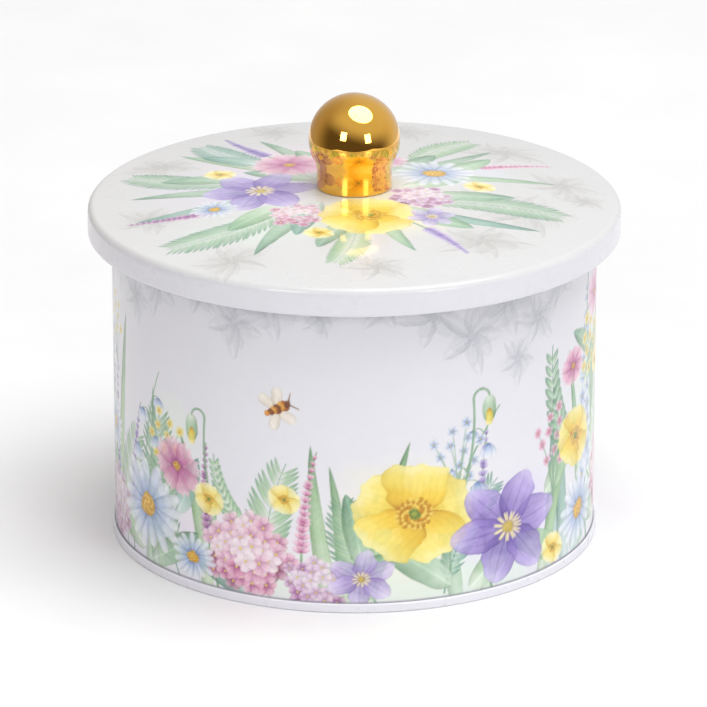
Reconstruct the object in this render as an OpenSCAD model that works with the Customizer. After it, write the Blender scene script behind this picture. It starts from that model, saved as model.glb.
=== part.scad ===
// Round tinplate tea caddy with an overhanging plug lid and a ball knob.
// The sheet-metal pieces are drawn as bent strips: every fold is a straight length and a bend, so
// the rolled rim, the hems, the double seam and the side seam lock into each other as folded sheet does.
// Millimetres. +Z is up. The origin is the centre of the base, on the plane that the caddy rests on.

/* [Body] */
// Outside diameter of the printed wall
body_d = 140; // [110:1:180]
// Height from the resting plane to the top of the rolled rim
body_h = 93; // [70:1:130]
// Thickness of the tinplate
sheet = 0.28; // [0.22:0.01:0.34]
// Outside diameter of the roll along the top of the wall
rim_roll_d = 2.08; // [1.7:0.02:2.2]
// How far round the rim is rolled, in degrees
rim_roll_turn = 290; // [200:5:300]

/* [Base] */
// Height of the double seam round the foot
seam_h = 2.7; // [2.3:0.1:3.6]
// Inside radius of the two corners that the caddy stands on
foot_bend_r = 0.25; // [0.15:0.01:0.3]
// Height of the top of the base panel above the resting plane
panel_h = 3.2; // [2.9:0.1:5]
// Inside radius of the bend between the panel and the wall of its recess
panel_bend_r = 0.5; // [0.3:0.05:1]
// Distance from the wall of the recess to the middle of the stiffening bead
bead_inset = 8; // [6:0.5:16]
// Width of the stiffening bead
bead_w = 4.4; // [3:0.1:6]
// Height of the stiffening bead
bead_h = 0.8; // [0.4:0.1:1.2]

/* [Side seam] */
// Width of the interlocked part of the side seam
lock_w = 3.2; // [2.4:0.1:5]
// How far the interlocked part is pressed in below the face of the wall
lock_set = 0.06; // [0.06:0.01:0.12]
// Height of the lapped stretch of the side seam above the resting plane
lap_foot_h = 6; // [4.5:0.5:10]
// How far the lapped stretch reaches below the lid's plug
lap_head_spare = 1.5; // [0.5:0.5:4]

/* [Lid] */
// How far the skirt of the lid stands out beyond the wall
lid_overhang = 6.75; // [6:0.25:10]
// Height of the skirt, from its hem to the level where the top begins
skirt_h = 8.1; // [6.5:0.1:14]
// How far the hem of the skirt reaches below the top of the rolled rim
skirt_drop = 2.24; // [2.1:0.02:5]
// Outside radius of the bend between the skirt and the top
lid_edge_r = 2; // [1:0.1:3]
// Rise of the domed top from its edge to its middle
dome_rise = 4.5; // [2:0.1:8]
// Height of the folded-in hem of the skirt
hem_h = 1.85; // [1.4:0.05:1.9]
// Depth of the plug below the top of the rolled rim
plug_depth = 7.5; // [5:0.5:14]
// Inside radius of the bend between the plug and its flange
plug_bend_r = 0.66; // [0.5:0.02:0.7]
// Outside diameter of the roll along the lower edge of the plug
plug_roll_d = 1.5; // [1.2:0.05:2]
// How far round the lower edge of the plug is rolled, in degrees
plug_roll_turn = 260; // [180:5:280]

/* [Knob] */
// Diameter of the ball
ball_d = 26.4; // [22:0.2:32]
// Diameter of the straight collar that stands on the lid
collar_d = 21.8; // [20:0.2:21.8]
// Height of the collar's straight side, from the lid to the hollow curve
collar_h = 4.8; // [3:0.1:8]
// Radius of the hollow curve between the collar and the ball
neck_r = 7.6; // [4:0.2:16]
// Radius of the collar's lower edge
collar_edge_r = 0.5; // [0.2:0.05:0.8]
// Diameter of the recess under the knob
recess_d = 16; // [12.5:0.5:17]
// Depth of the recess under the knob
recess_h = 0.6; // [0.3:0.1:1.5]

/* [Knob fastening] */
// Outside diameter of the screw's thread
screw_d = 4; // [3:0.5:5]
// Length of the screw under its head
screw_len = 10; // [8:1:14]
// Diameter of the pan head
head_d = 8; // [6:0.2:9.4]
// Height of the pan head
head_h = 3.1; // [2.4:0.1:3.6]
// Across the arms of the cross recess
drive_span = 4.4; // [3:0.1:5]
// Width of an arm of the cross recess
drive_w = 1; // [0.7:0.05:1.2]
// Depth of the cross recess
drive_h = 1.8; // [1:0.1:2]
// Diameter of the washer
washer_d = 12; // [9.5:0.5:14]
// Thickness of the washer
washer_h = 1; // [0.5:0.1:1.5]
// Depth of the threaded hole past the end of the screw
hole_spare = 2; // [1:0.5:3]

/* [Fits] */
// Space between folded layers of sheet
layer_gap = 0.05; // [0.04:0.01:0.08]
// Space between the plug and the inside of the wall's lapped seam
plug_gap = 0.3; // [0.25:0.05:0.6]
// Space left between pieces that rest on each other
touch_gap = 0.03; // [0.02:0.01:0.05]
// Radial space between the screw and the knob's threaded hole
thread_gap = 0.04; // [0.03:0.01:0.08]
// Radial space between the screw and the holes it passes through
hole_gap = 0.25; // [0.15:0.05:0.5]

/* [Hidden] */
$fn = 180;

tin_white = [0.93, 0.93, 0.95];
tin_silver = [0.78, 0.78, 0.76];
gold = [0.86, 0.62, 0.18];
steel = [0.62, 0.63, 0.64];

bend_step = 15;              // degrees between the points of a bend
arc_step = 3;                // longest chord on a wide arc
seam_chord = 0.8;            // longest chord along the side seam
half = sheet / 2;            // from the middle of the sheet to its face
pitch = sheet + layer_gap;   // from the middle of one folded layer to the next
fold_r = pitch - half;       // inside radius of a fold that holds one layer

// Radii of the layers, each to the middle of its sheet, counted outward from the wall
body_r = body_d / 2;
wall_mid = body_r - half;
body_hook_mid = wall_mid + 2 * pitch;
seam_mid = wall_mid + 3 * pitch;
recess_mid = wall_mid - pitch;

skirt_mid = body_r + lid_overhang - half;
leg_mid = skirt_mid - pitch;

// Levels of the double seam
foot_bend_mid = foot_bend_r + half;
body_fold_z = pitch + pitch + half;         // middle of the fold at the foot of the wall
base_fold_z = seam_h - pitch - half;        // middle of the fold at the top of the seam
hook_spare = 2 * layer_gap;                 // space left at the end of a hook

// Side seam
lock_half = lock_w / 2;
plug_foot_z = body_h - plug_depth;
lap_head_z = plug_foot_z - lap_head_spare;
lap_face_r = body_r - 2 * sheet;
lock_margin = 1;                            // plain wall drawn with the seam on each side
lock_left = -(lock_half + pitch + lock_margin);
lock_right = lock_half + 3 * pitch + lock_margin;
lock_bite = 0.1;                            // how far that runs into the rest of the wall

// Rolled rim
rim_roll_mid = rim_roll_d / 2 - half;
rim_roll_z = body_h - rim_roll_d / 2;

// Lid
skirt_foot_z = body_h - skirt_drop;
lid_edge_z = skirt_foot_z + skirt_h;
edge_centre_r = body_r + lid_overhang - lid_edge_r;
dome_top_z = lid_edge_z + dome_rise;
dome_drop = dome_rise + lid_edge_r;
dome_r = (pow(edge_centre_r, 2) + pow(dome_drop, 2) - pow(lid_edge_r, 2)) / (2 * dome_rise);
dome_slope = asin(edge_centre_r / (dome_r - lid_edge_r));
hem_fold_z = skirt_foot_z + pitch + half;
flange_z = body_h + layer_gap + half;
leg_foot_z = hem_fold_z + hook_spare;
leg_bend_r = fold_r + layer_gap;
plug_mid = lap_face_r - plug_gap - half;
plug_roll_mid = plug_roll_d / 2 - half;

// Knob and its fastening, above the lid's middle
screw_r = screw_d / 2;
lid_hole_r = screw_r + hole_gap;
recess_r = recess_d / 2;
seat_z = dome_height(recess_r) + touch_gap;
ball_r = ball_d / 2;
collar_r = collar_d / 2;
collar_top_z = seat_z + collar_h;
ball_z = collar_top_z + sqrt(pow(ball_r + neck_r, 2) - pow(collar_r + neck_r, 2));
washer_r = washer_d / 2;
washer_top_z = dome_height(washer_r) - sheet - touch_gap;
head_top_z = washer_top_z - washer_h - touch_gap;
screw_tip_z = head_top_z + screw_len;
hole_end_z = screw_tip_z + hole_spare;
drill_angle = 118;
tip_chamfer = 0.5;
head_round_r = 0.8;

// Height of the outside of the domed top at a distance from the axis
function dome_height(r) = dome_top_z - dome_r + sqrt(pow(dome_r, 2) - pow(r, 2));

// Steps of a bent strip: [straight length, angle to turn left, inside radius of the bend]
function ahead(length) = [length, 0, 0];
function bend(length, angle, inside_r) = [length, angle, inside_r];

function heading(angle) = [cos(angle), sin(angle)];
function to_left(angle) = [-sin(angle), cos(angle)];
function chords(angle, r) = max(ceil(abs(angle) / bend_step), ceil(abs(angle) * PI / 180 * r / arc_step));

// Middle line of the strip, as [point, direction] pairs, from the step number i on
function strip_line(steps, point, angle, i = 0) =
    i == len(steps) ? [] :
    let (length = steps[i][0],
         turn = steps[i][1],
         r = steps[i][2] + half,
         side = sign(turn),
         corner = point + length * heading(angle),
         centre = corner + side * r * to_left(angle),
         count = turn == 0 ? 0 : chords(turn, r),
         arc = [for (k = [1 : 1 : count])
                    let (a = angle + turn * k / count) [centre - side * r * to_left(a), a]],
         end = count == 0 ? corner : arc[count - 1][0])
    concat(length == 0 ? [] : [[corner, angle]], arc, strip_line(steps, end, angle + turn, i + 1));

function strip_outline(steps, start, angle) =
    let (line = concat([[start, angle]], strip_line(steps, start, angle)), last = len(line) - 1)
    concat([for (p = line) p[0] + half * to_left(p[1])],
           [for (i = [last : -1 : 0]) line[i][0] - half * to_left(line[i][1])]);

module strip(steps, start, angle) {
    polygon(strip_outline(steps, start, angle));
}

// Foot of the wall: the hook that the base is seamed to, and the plain wall up to the lock
module wall_foot_profile() {
    hook_top_z = base_fold_z - hook_spare;
    strip([bend(hook_top_z - body_fold_z, -180, fold_r),
           ahead(lap_foot_h - body_fold_z)],
          [body_hook_mid, hook_top_z], -90);
}

// Head of the wall: the plain wall above the lock, and the rim rolled outward
module wall_head_profile() {
    strip([bend(rim_roll_z - lap_head_z, -rim_roll_turn, rim_roll_mid - half)],
          [wall_mid, lap_head_z], 90);
}

// Point of the side seam: u is the distance round the wall, depth is inward from its face
function rolled(p) = (body_r - p[1]) * [sin(p[0] * 180 / PI / body_r), cos(p[0] * 180 / PI / body_r)];

// A straight run of the seam is cut into short lengths, so that it follows the round wall
function run(length) = let (count = ceil(length / seam_chord)) [for (k = [1 : count]) ahead(length / count)];

function lock_outline(steps, start, angle) = [for (p = strip_outline(steps, start, angle)) rolled(p)];

// The two edges of the wall, hooked into each other on the inside. The left edge folds once; the
// right edge steps in over that fold and comes back through it.
module lock_profile() {
    hook_run = lock_w - hook_spare;
    left_edge = concat(run(lock_half - lock_left), [bend(0, 180, fold_r)], run(hook_run));
    right_edge = concat(run(lock_margin), [bend(0, -90, fold_r), bend(0, 90, pitch + fold_r)],
                        run(lock_w), [bend(0, 180, fold_r)], run(hook_run));
    polygon(lock_outline(left_edge, [lock_left, half + lock_set], 0));
    polygon(lock_outline(right_edge, [lock_right, half + lock_set], 180));
}

// Part of the ring that the lock replaces
module lock_window() {
    reach = body_r + sheet;
    function edge(u) = reach * rolled([u, 0]) / body_r;
    polygon([[0, 0], edge(lock_left + lock_bite), [0, reach], edge(lock_right - lock_bite)]);
}

module wall_lock() {
    translate([0, 0, lap_foot_h]) linear_extrude(lap_head_z - lap_foot_h) union() {
        difference() {
            circle(body_r);
            circle(body_r - sheet);
            lock_window();
        }
        lock_profile();
    }
}

// Overlap of the two edges above and below the lock
module wall_lap(foot_z, head_z) {
    lap_angle = lock_w / body_r * 180 / PI;
    rotate(90 - lap_angle / 2) rotate_extrude(angle = lap_angle)
        translate([lap_face_r, foot_z]) square([sheet + half, head_z - foot_z]);
}

module body_wall() color(tin_white) {
    rotate_extrude() wall_foot_profile();
    rotate_extrude() wall_head_profile();
    wall_lock();
    wall_lap(panel_h + layer_gap, lap_foot_h);
    wall_lap(lap_head_z, rim_roll_z);
}

// Base: beaded panel, recess wall, foot, outside of the double seam and its hook
module base() color(tin_silver) {
    bead_half = bead_w / 2;
    bead_angle = 2 * atan(bead_h / bead_half);
    bead_mid = bead_half / (2 * sin(bead_angle));
    bead_r = bead_mid - half;
    bead_start = recess_mid - bead_inset - bead_half;
    panel_z = panel_h - half;
    panel_end = recess_mid - panel_bend_r - half;
    foot_z = half + foot_bend_mid;
    rotate_extrude() strip([
        bend(bead_start, bead_angle, bead_r),
        bend(0, -2 * bead_angle, bead_r),
        bend(0, bead_angle, bead_r),
        bend(panel_end - bead_start - bead_w, -90, panel_bend_r),
        bend(panel_z - panel_bend_r - half - foot_z, 90, foot_bend_r),
        bend(seam_mid - recess_mid - 2 * foot_bend_mid, 90, foot_bend_r),
        bend(base_fold_z - foot_z, 180, fold_r),
        ahead(base_fold_z - body_fold_z - hook_spare)],
        [0, panel_z], 0);
}

// Lid shell: domed top, rounded edge, skirt, and a hem folded in round the plug ring's leg
module lid_shell() color(tin_white) {
    hole_slope = asin(lid_hole_r / (dome_r - half));
    start_z = dome_top_z - dome_r + (dome_r - half) * cos(hole_slope);
    rotate_extrude() strip([
        bend(0, hole_slope - dome_slope, dome_r - sheet),
        bend(0, dome_slope - 90, lid_edge_r - sheet),
        bend(lid_edge_z - lid_edge_r - hem_fold_z, -180, fold_r),
        ahead(skirt_foot_z + hem_h - hem_fold_z)],
        [lid_hole_r, start_z], -hole_slope);
}

// Plug ring: leg held in the hem, flange that rests on the rolled rim, and the plug itself
module lid_plug_ring() color(tin_silver) {
    leg_bend_mid = leg_bend_r + half;
    plug_bend_mid = plug_bend_r + half;
    roll_z = plug_foot_z + plug_roll_d / 2;
    rotate_extrude() strip([
        bend(flange_z - leg_bend_mid - leg_foot_z, 90, leg_bend_r),
        bend(leg_mid - plug_mid - leg_bend_mid - plug_bend_mid, 90, plug_bend_r),
        bend(flange_z - plug_bend_mid - roll_z, -plug_roll_turn, plug_roll_mid - half)],
        [leg_mid, leg_foot_z], 90);
}

// Half profile of the knob: straight collar with a rounded foot, hollow neck and ball, each running
// into the next
module knob_profile() {
    neck_centre = [collar_r + neck_r, collar_top_z];
    ball_centre = [0, ball_z];
    neck_top = ball_centre + ball_r / (ball_r + neck_r) * (neck_centre - ball_centre);
    edge_centre = [collar_r - collar_edge_r, seat_z + collar_edge_r];
    intersection() {
        union() {
            translate(ball_centre) circle(ball_r);
            difference() {
                polygon([[0, collar_top_z], [collar_r, collar_top_z], neck_top, [0, neck_top[1]]]);
                translate(neck_centre) circle(neck_r);
            }
            polygon([[0, edge_centre[1]], [collar_r, edge_centre[1]], [collar_r, collar_top_z],
                     [0, collar_top_z]]);
            translate(edge_centre) circle(collar_edge_r);
            polygon([[0, seat_z], [edge_centre[0], seat_z], edge_centre, [0, edge_centre[1]]]);
        }
        translate([0, seat_z]) square([2 * ball_r, ball_z + 2 * ball_r]);
    }
}

module knob() color(gold) difference() {
    hole_r = screw_r + thread_gap;
    rotate_extrude() knob_profile();
    translate([0, 0, seat_z - recess_h]) cylinder(r = recess_r, h = 2 * recess_h);
    translate([0, 0, seat_z]) cylinder(r = hole_r, h = hole_end_z - seat_z);
    translate([0, 0, hole_end_z]) cylinder(r1 = hole_r, r2 = 0, h = hole_r / tan(drill_angle / 2));
}

// Screw, pushed up through the washer and the lid into the knob
module knob_screw() color(steel) difference() {
    head_r = head_d / 2;
    head_foot_z = head_top_z - head_h;
    union() {
        rotate_extrude() {
            translate([0, head_foot_z]) square([head_r - head_round_r, head_h]);
            translate([0, head_foot_z + head_round_r]) square([head_r, head_h - head_round_r]);
            translate([head_r - head_round_r, head_foot_z + head_round_r]) circle(head_round_r);
        }
        translate([0, 0, head_top_z - sheet])
            cylinder(r = screw_r, h = screw_len + sheet - tip_chamfer);
        translate([0, 0, screw_tip_z - tip_chamfer])
            cylinder(r1 = screw_r, r2 = screw_r - tip_chamfer, h = tip_chamfer);
    }
    for (turn = [0, 90]) rotate(turn)
        translate([-drive_span / 2, -drive_w / 2, head_foot_z - drive_h])
            cube([drive_span, drive_w, 2 * drive_h]);
}

module knob_washer() color(steel) difference() {
    translate([0, 0, washer_top_z - washer_h]) cylinder(r = washer_r, h = washer_h);
    translate([0, 0, washer_top_z - 2 * washer_h]) cylinder(r = screw_r + hole_gap, h = 3 * washer_h);
}

body_wall();
base();
lid_shell();
lid_plug_ring();
knob();
knob_screw();
knob_washer();
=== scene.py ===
import math

import bpy
import numpy as np
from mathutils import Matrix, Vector


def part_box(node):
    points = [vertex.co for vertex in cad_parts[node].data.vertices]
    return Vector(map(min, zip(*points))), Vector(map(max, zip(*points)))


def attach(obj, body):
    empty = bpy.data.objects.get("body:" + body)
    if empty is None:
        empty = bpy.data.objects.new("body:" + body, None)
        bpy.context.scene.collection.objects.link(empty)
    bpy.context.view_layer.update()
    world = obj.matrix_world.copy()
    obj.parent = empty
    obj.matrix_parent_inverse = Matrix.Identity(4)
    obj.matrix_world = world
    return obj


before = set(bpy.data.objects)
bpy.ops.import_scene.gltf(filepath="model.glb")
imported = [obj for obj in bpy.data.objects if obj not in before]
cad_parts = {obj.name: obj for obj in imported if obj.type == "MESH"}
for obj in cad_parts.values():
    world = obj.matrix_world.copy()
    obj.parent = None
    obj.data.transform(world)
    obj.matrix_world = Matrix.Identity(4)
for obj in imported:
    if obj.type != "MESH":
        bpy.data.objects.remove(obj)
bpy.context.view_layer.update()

# Everything below is in millimetres until a mesh, a light or the camera is made. +Z is up, the front
# looks along -Y, and the distance round the wall is 0 at the front and grows to the right.
MM = 0.001

# ---- sizes, from the CAD parts where they hold them


def widest(node, low, high):
    """Largest radius of a CAD node between two heights."""
    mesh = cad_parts[node].data
    co = np.empty(3 * len(mesh.vertices), np.float32)
    mesh.vertices.foreach_get("co", co)
    x, y, z = co.reshape(-1, 3).T / MM
    return float(np.hypot(x, y)[(z > low) & (z < high)].max())


def levels(node):
    """Lowest and highest level of a CAD node."""
    low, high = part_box(node)
    return low.z / MM, high.z / MM


SEAM_TOP = 2.7  # top of the double seam round the foot
SKIRT_FOOT, LID_TOP = levels("lid_shell")
WALL_R = widest("body_wall", SEAM_TOP + 2, SKIRT_FOOT - 2)
SKIRT_R = widest("lid_shell", SKIRT_FOOT, LID_TOP)
SKIRT_H = 8.1  # from the hem to the level where the top begins
EDGE_R = 2.0  # bend between the skirt and the top
FOLD_R = 0.47  # outside of the fold along the hem
HEM_H = 1.85  # height of the folded-in hem
HOLE_R = 2.3  # edge of the print round the screw's hole
GROOVE_X = 2.15  # the side seam's groove, right of the middle of the back
GROOVE_MARGIN = 0.7  # bare metal left on each side of it
PRINT_FOOT, PRINT_HEAD = SEAM_TOP + 0.05, SKIRT_FOOT + 0.04  # levels where the wall's print begins and ends

COAT = 0.02  # how far the print stands out of the sheet, and lies in it
WALL_STEP = 0.3  # spacing of the print's points on the wall
UPPER_STEP = 0.45  # and where only pale drawing is left
UPPER_FROM = 62  # level from which that is so
LID_STEP = 0.36  # spacing of the rings of points on the lid
BACK_COARSER = 6  # how many times further apart they are under the top
RING_POINTS = 48  # points of the smallest ring
RING_DOUBLES = (4, 8, 16, 32, 55)  # radii past which the rings have twice as many points


# ---- watercolour painter, in millimetres

BRUSH_SOFT = 0.2  # half width of the soft edge of a brush touch
PETAL_COVER = 0.92  # how much of the paper a petal's paint hides
GOLDEN_ANGLE = 137.508  # degrees between florets that fill a disc evenly
STALK_POINTS = 48  # points along a stalk
LATTICE_SIZE = 64  # random values each way, which noise repeats
LATTICE = np.random.default_rng(7).random((LATTICE_SIZE, LATTICE_SIZE))


def ramp(low, high, v):
    """0 up to low and 1 from high on, with a smooth rise between them."""
    t = np.clip((v - low) / (high - low), 0, 1)
    return t * t * (3 - 2 * t)


def noise(x, y, size, seed=0):
    """Smooth noise from 0 to 1, in blobs about size across."""
    x = np.asarray(x) / size + 17.3 * seed
    y = np.asarray(y) / size + 9.1 * seed
    i, j = np.floor(x).astype(int), np.floor(y).astype(int)
    u, v = ramp(0, 1, x - i), ramp(0, 1, y - j)
    right, above = (i + 1) % LATTICE_SIZE, (j + 1) % LATTICE_SIZE
    i, j = i % LATTICE_SIZE, j % LATTICE_SIZE
    low = LATTICE[i, j] * (1 - u) + LATTICE[right, j] * u
    high = LATTICE[i, above] * (1 - u) + LATTICE[right, above] * u
    return low * (1 - v) + high * v


def cloud(x, y, size, seed=0):
    """Noise of three sizes, as pigment settles on damp paper."""
    return (0.6 * noise(x, y, size, seed) + 0.3 * noise(x, y, size / 2.1, seed + 1)
            + 0.1 * noise(x, y, size / 4.3, seed + 2))


def ink(code):
    return np.array([int(code[i:i + 2], 16) for i in (0, 2, 4)]) / 255


def inks(codes):
    return [ink(code) for code in codes.split()]


def along(stops, t):
    """Colour at each t from 0 to 1 between evenly spaced stops."""
    t = np.clip(t, 0, 1) * (len(stops) - 1)
    i = np.minimum(t.astype(int), len(stops) - 2)
    f = ramp(0, 1, t - i)[:, None]
    stops = np.array(stops)
    return stops[i] * (1 - f) + stops[i + 1] * f


class Sheet:
    """Points of a printed sheet and the colour on each. A sheet with a period closes on itself in x."""

    def __init__(self, x, y, paper, period=None):
        self.x, self.y, self.period = x, y, period
        self.rgb = np.tile(paper, (len(x), 1))
        self.seed = 0

    def right_of(self, x, at=slice(None)):
        """How far the points lie to the right of x, the short way round."""
        off = self.x[at] - x
        return off if self.period is None else (off + self.period / 2) % self.period - self.period / 2

    def near(self, x, y, wide, high):
        """The points in a box round (x, y), for a new touch of the brush with a seed of its own."""
        self.seed += 1
        rows = np.nonzero(np.abs(self.y - y) < high)[0]
        return rows[np.abs(self.right_of(x, rows)) < wide]

    def lay(self, at, colour, cover):
        """Lays paint over points of the sheet. cover is how much it hides of what is below."""
        cover = np.clip(cover, 0, 1)[:, None]
        self.rgb[at] = self.rgb[at] * (1 - cover) + np.clip(colour, 0, 1) * cover


class Head:
    """A frame to draw a flower in: its centre, its turn, and how far it is tipped away from the eye."""

    def __init__(self, x, y, turn=0.0, tip=1.0, tip_angle=90.0):
        self.x, self.y, self.tip = x, y, tip
        self.turn, self.axis = math.radians(turn), math.radians(tip_angle)

    def place(self, r, angle):
        """Point of the sheet at a distance and angle in this frame."""
        a = math.radians(angle) + self.turn
        px, py = r * math.cos(a), r * math.sin(a)
        c, s = math.cos(self.axis), math.sin(self.axis)
        deep, wide = (px * c + py * s) * self.tip, -px * s + py * c
        return self.x + deep * c - wide * s, self.y + deep * s + wide * c

    def local(self, sheet, at):
        """The sheet's points seen in this frame."""
        dx, dy = sheet.right_of(self.x, at), sheet.y[at] - self.y
        c, s = math.cos(self.axis), math.sin(self.axis)
        deep, wide = (dx * c + dy * s) / self.tip, -dx * s + dy * c
        dx, dy = deep * c - wide * s, deep * s + wide * c
        c, s = math.cos(self.turn), math.sin(self.turn)
        return dx * c + dy * s, -dx * s + dy * c


def pigment(colour, dark):
    """Colour made deeper, most in its weakest channels, as more of the same paint does."""
    return colour * (1 - dark[:, None] * (1.25 - colour))


def petal_edge(s, t, length, width, fat, point, wave, seed):
    """Half width of a petal at the shares s of its length, and how deep the points (s, t) lie inside it."""
    inside = np.clip(s, 0, 1)
    peak = fat ** fat * (1 - fat) ** (1 - fat)
    half = (inside ** fat * (1 - inside) ** (1 - fat) / peak) ** (point * 2)
    half = half * width / 2 * (1 + wave * (2 * noise(s * 6, np.sign(t) * 3.0, 1.0, seed) - 1))
    return half, np.minimum(half - np.abs(t), np.minimum(s, 1 - s) * length + 0.15)


def petal_dark(x, y, s, t, half, depth, veins, vein, rim, shade, mid, seed):
    """How much darker than its paint a petal is at points (s, t), which are (x, y) on the sheet."""
    side = t / np.maximum(half, 0.05)
    lines = np.abs(np.sin(side * veins * math.pi / 2 + 0.4 * (s - 0.5)))
    dark = rim * np.exp(-np.maximum(depth, 0) / 0.34) * (0.5 + cloud(x, y, 3.1, seed + 3))
    dark += vein * (1 - ramp(0, 0.45, lines)) * ramp(0.02, 0.25, s) * (1 - 0.75 * ramp(0.5, 1, s))
    dark += shade * ramp(-0.2, 1.1, side) * (0.6 + 0.8 * cloud(x, y, 4.0, seed + 5))
    return dark + (0.1 * (cloud(x, y, 1.5, seed + 9) - 0.5) - mid * np.exp(-(t / 0.28) ** 2))


def petal(sheet, head, angle, length, width, tones, start=0.0, fat=0.55, point=0.5, bend=0.0, wave=0.06,
          notch=0.0, veins=5, vein=0.1, rim=0.22, shade=0.16, mid=0.0, cover=PETAL_COVER):
    """One petal or leaf along angle, widest at the share fat of its length, and sharper with a large point.
    rim, vein and shade say how dark its edge, veins and left half are, and mid how light its midrib is."""
    reach = (length + start) * 1.25 + width * 0.4
    at = sheet.near(head.x, head.y, reach, reach)
    if not len(at):
        return
    seed = sheet.seed
    px, py = head.local(sheet, at)
    a = math.radians(angle)
    s = (px * math.cos(a) + py * math.sin(a) - start) / length
    t = -px * math.sin(a) + py * math.cos(a) - bend * length * s * np.abs(s)
    if notch:
        teeth = np.abs(np.sin(t / width * 2.6 * math.pi + seed))
        s = s / (1 - notch * ramp(0.1, 0.9, teeth) * ramp(0.5, 1, s))
    half, depth = petal_edge(s, t, length, width, fat, point, wave, seed)
    edge = ramp(-BRUSH_SOFT, BRUSH_SOFT, depth)
    keep = edge > 0.004
    at, s, t, half, depth, edge = (part[keep] for part in (at, s, t, half, depth, edge))
    x, y = sheet.x[at], sheet.y[at]
    dark = petal_dark(x, y, s, t, half, depth, veins, vein, rim, shade, mid, seed)
    colour = pigment(along(tones, s + 0.18 * (cloud(x, y, 2.4, seed) - 0.5)), dark)
    sheet.lay(at, colour, cover * edge * (0.88 + 0.24 * (cloud(x, y, 5.0, seed + 7) - 0.5)))


def arch(start, end, lift, count=24):
    """Points along an arched line. lift is how far its middle stands off, as a share of its length."""
    t = np.linspace(0, 1, count)[:, None]
    a, b = np.array(start, float), np.array(end, float)
    off = np.array([-(b - a)[1], (b - a)[0]]) * lift
    return a * (1 - t) + b * t + off * 4 * t * (1 - t)


def stroke(sheet, line, width, tone, cover=0.9, taper=0.5, shade=0.25):
    """A brush line along points, thinner towards its end."""
    low, high = line.min(0) - width, line.max(0) + width
    mid, reach = (low + high) / 2, (high - low) / 2
    at = sheet.near(*mid, *reach)
    if not len(at):
        return
    p = np.stack([sheet.right_of(mid[0], at) + mid[0], sheet.y[at]], 1)
    best, side, share = np.full(len(p), 1e9), np.zeros(len(p)), np.zeros(len(p))
    for i in range(len(line) - 1):
        a, d = line[i], line[i + 1] - line[i]
        f = np.clip(((p - a) @ d) / (d @ d + 1e-12), 0, 1)
        off = p - a - f[:, None] * d
        r = np.hypot(off[:, 0], off[:, 1])
        closer = r < best
        best[closer] = r[closer]
        side[closer] = ((d[0] * off[:, 1] - d[1] * off[:, 0]) / (np.hypot(*d) + 1e-9))[closer]
        share[closer] = (i + f[closer]) / (len(line) - 1)
    x, y = sheet.x[at], sheet.y[at]
    half = width / 2 * (1 - taper * share) * (0.85 + 0.3 * noise(x, y, 3.0, sheet.seed))
    dark = shade * ramp(-1, 1, side / np.maximum(half, 0.05)) + 0.12 * (noise(x, y, 2.0, sheet.seed) - 0.5)
    sheet.lay(at, pigment(tone, dark), ramp(-BRUSH_SOFT, BRUSH_SOFT, half - best) * cover)


def dab(sheet, x, y, r, tone, cover=0.9, rough=0.25, rim=0.2, squash=1.0):
    """A loose round touch of the brush."""
    at = sheet.near(x, y, r * 1.6 + 0.4, r * 1.6 + 0.4)
    dx, dy = sheet.right_of(x, at), (sheet.y[at] - y) / squash
    a = np.arctan2(dy, dx)
    edge = r * (1 + rough * (2 * noise(np.cos(a) * 1.3 + 5, np.sin(a) * 1.3 + 5, 1.0, sheet.seed) - 1))
    depth = edge - np.hypot(dx, dy)
    dark = rim * np.exp(-np.maximum(depth, 0) / (0.25 * r + 0.1)) + 0.15 * ramp(-r, r, dx - dy)
    sheet.lay(at, pigment(tone, dark), ramp(-BRUSH_SOFT, BRUSH_SOFT, depth) * cover)


def wash(sheet, x, y, wide, high, tone, cover):
    """A soft uneven stain."""
    at = sheet.near(x, y, wide * 1.5, high * 1.5)
    d = np.hypot(sheet.right_of(x, at) / wide, (sheet.y[at] - y) / high)
    d = d + 0.7 * (cloud(sheet.x[at], sheet.y[at], min(wide, high) * 0.6, sheet.seed) - 0.5)
    sheet.lay(at, tone, cover * (1 - ramp(0.25, 1.05, d)))


# ---- flowers, leaves and a bee

GREEN = inks("DCE8D6 A9CBA4 7FAE86")
SAGE = inks("C9DCC8 9DBFA0 6F9C80")
BLUE_GREEN = inks("CFE0DC 8FB7A8 5F9484")
MOSS = inks("D6E4CC AACB9C 76A274")
YELLOW = inks("D29A28 F3D04A F8E373 FBF0A8")
BUTTER = inks("E3B53C F7E07A FAEDA0 FCF5CC")
PURPLE = inks("6B52A6 8D78C2 AE9ADB CFC2EE")
LILAC = inks("8C74B8 B29FD6 CDBFE8 E6DEF5")
PINK = inks("A84F8A D184AE EBB0CA F7D6E2")
MAUVE = inks("8E5593 B67FB4 D5A6CE ECCFE4")
BLUSH = inks("C06A9A E3A3C4 F2C8DC FAE3EC")
PALE_BLUE = inks("8398C6 BFCEE8 E2E9F5 F3F5FA")
GREY = inks("CFD1D8 D8DAE0 DFE0E6")
PEARL = inks("BFBFBC C9C9C6 D0D0CD")
POLLEN = inks("C88A1C F6DC70")
STAMENS = inks("6B4A86 F3E6B0 F7EBC0")
STEM = ink("93B596")


def in_turn(count):
    """0, 2, 4... and then 1, 3, 5..., so that most petals lie over both of their neighbours or neither."""
    return list(range(0, count, 2)) + list(range(1, count, 2))


def pollen(sheet, head, r, count, low=0.0, size=0.16, tones=POLLEN):
    """Grains that fill a disc, or a ring whose inner radius is the share low of r."""
    for k in range(count):
        x, y = head.place(r * (low + (1 - low) * math.sqrt((k + 0.5) / count)), k * GOLDEN_ANGLE)
        dab(sheet, x, y, r * size, tones[k % 2], cover=0.75, rough=0.4)


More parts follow.
